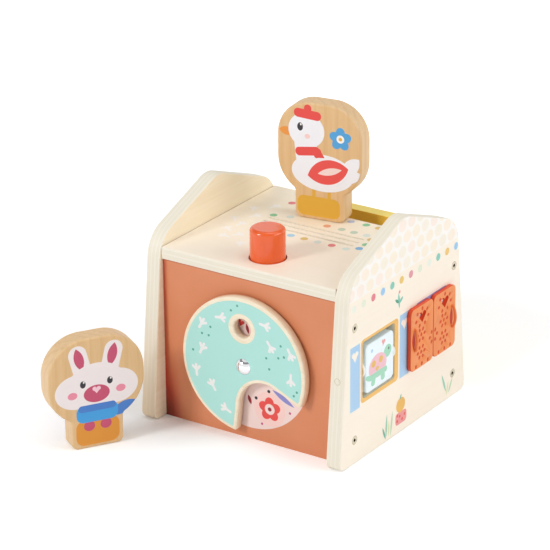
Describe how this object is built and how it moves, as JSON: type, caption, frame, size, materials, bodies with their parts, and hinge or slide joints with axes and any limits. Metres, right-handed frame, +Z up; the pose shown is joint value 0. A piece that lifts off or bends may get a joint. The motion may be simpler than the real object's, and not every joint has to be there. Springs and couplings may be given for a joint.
{
  "type": "pop-up animal toy",
  "caption": "Wooden farmhouse toy: a round button pops up an animal block from a slot, beside a turning disc, a flip-over tile and small window shutters.",
  "frame": {"origin": "centre of the house's footprint, on the floor", "axes": "+X is the side with the windows, -Y is the front with the turning disc, +Z is up"},
  "size_m": [0.2118, 0.2616, 0.2255],
  "materials": {
    "birch_ply": "satin",
    "printed_ply": "satin",
    "coral_paint": "matte",
    "yellow_paint": "matte",
    "orange_lacquer": "gloss",
    "orange_paint": "matte",
    "mint_print": "satin",
    "tile_print": "gloss",
    "figure_wood": "satin",
    "beech": "satin",
    "white_plastic": "satin",
    "zinc_steel": "satin",
    "chrome_cap": "polished",
    "spring_steel": "bright",
    "orange_elastic": "woven elastic"
  },
  "bodies": {
    "house": {"left_side_board": "printed_ply", "right_side_board": "printed_ply", "front_board": "coral_paint", "back_board": "yellow_paint", "bottom_board": "birch_ply", "top_deck": "printed_ply", "left_screws": "zinc_steel", "right_screws": "zinc_steel", "board_dowels": "beech", "axle_plug": "beech", "chute_front_wall": "birch_ply", "chute_left_wall": "birch_ply", "chute_right_wall": "birch_ply", "spring_shelf": "birch_ply", "left_pivot_bracket": "beech", "right_pivot_bracket": "beech", "pivot_pin": "zinc_steel", "front_tie_ends": "orange_elastic", "rear_tie_ends": "orange_elastic", "disc_spacer": "white_plastic", "disc_bolt": "chrome_cap", "disc_washer": "zinc_steel", "disc_nut": "zinc_steel"},
    "disc": {"turning_disc": "mint_print"},
    "button": {"push_button": "orange_lacquer", "button_plate": "beech", "button_stem": "beech", "return_spring": "spring_steel"},
    "rocker": {"rocker_board": "birch_ply", "rocker_kicker": "beech"},
    "tray": {"pop_up_tray": "birch_ply"},
    "tile": {"flip_tile": "tile_print", "tile_axle": "zinc_steel", "tile_bushes": "white_plastic"},
    "front_door": {"front_leaf": "orange_paint", "front_leaf_tie": "orange_elastic"},
    "rear_door": {"rear_leaf": "orange_paint", "rear_leaf_tie": "orange_elastic"},
    "duck": {"duck_figure": "figure_wood"},
    "rabbit": {"rabbit_figure": "figure_wood"}
  },
  "joints": [
    {"name": "button_press", "type": "slide", "parent": "house", "child": "button", "axis": [0, 0, -1], "range_m": [0, 0.014], "stiffness_N_per_m": 250, "springref_m": -0.006, "deforming": ["return_spring"]},
    {"name": "rocker_tilt", "type": "hinge", "parent": "house", "child": "rocker", "pos_m": [0, 0, 0.046], "axis": [1, 0, 0], "range_deg": [0, 16.26]},
    {"name": "tray_lift", "type": "slide", "parent": "house", "child": "tray", "axis": [0, 0, 1], "range_m": [0, 0.0157]},
    {"name": "disc_turn", "type": "hinge", "parent": "house", "child": "disc", "pos_m": [0, -0.0772, 0.06], "axis": [0, -1, 0], "continuous": true},
    {"name": "tile_flip", "type": "hinge", "parent": "house", "child": "tile", "pos_m": [0.081, -0.0359, 0.0684], "axis": [0, 1, 0], "continuous": true},
    {"name": "front_door_swing", "type": "hinge", "parent": "house", "child": "front_door", "pos_m": [0.0873, 0.00235, 0.0695], "axis": [0, 0, -1], "range_deg": [0, 90]},
    {"name": "rear_door_swing", "type": "hinge", "parent": "house", "child": "rear_door", "pos_m": [0.0873, 0.06565, 0.0695], "axis": [0, 0, 1], "range_deg": [0, 90]},
    {"name": "duck_lift", "type": "slide", "parent": "house", "child": "duck", "axis": [0, 0, 1], "range_m": [0, 0.06]},
    {"name": "rabbit_lift", "type": "slide", "parent": "house", "child": "rabbit", "axis": [0, 0, 1], "range_m": [0, 0.06]}
  ],
  "couplings": [
    {"joint": "rocker_tilt", "follows": "button_press", "rad_per_m": 20.271},
    {"joint": "tray_lift", "follows": "button_press", "ratio": 1.1212}
  ]
}
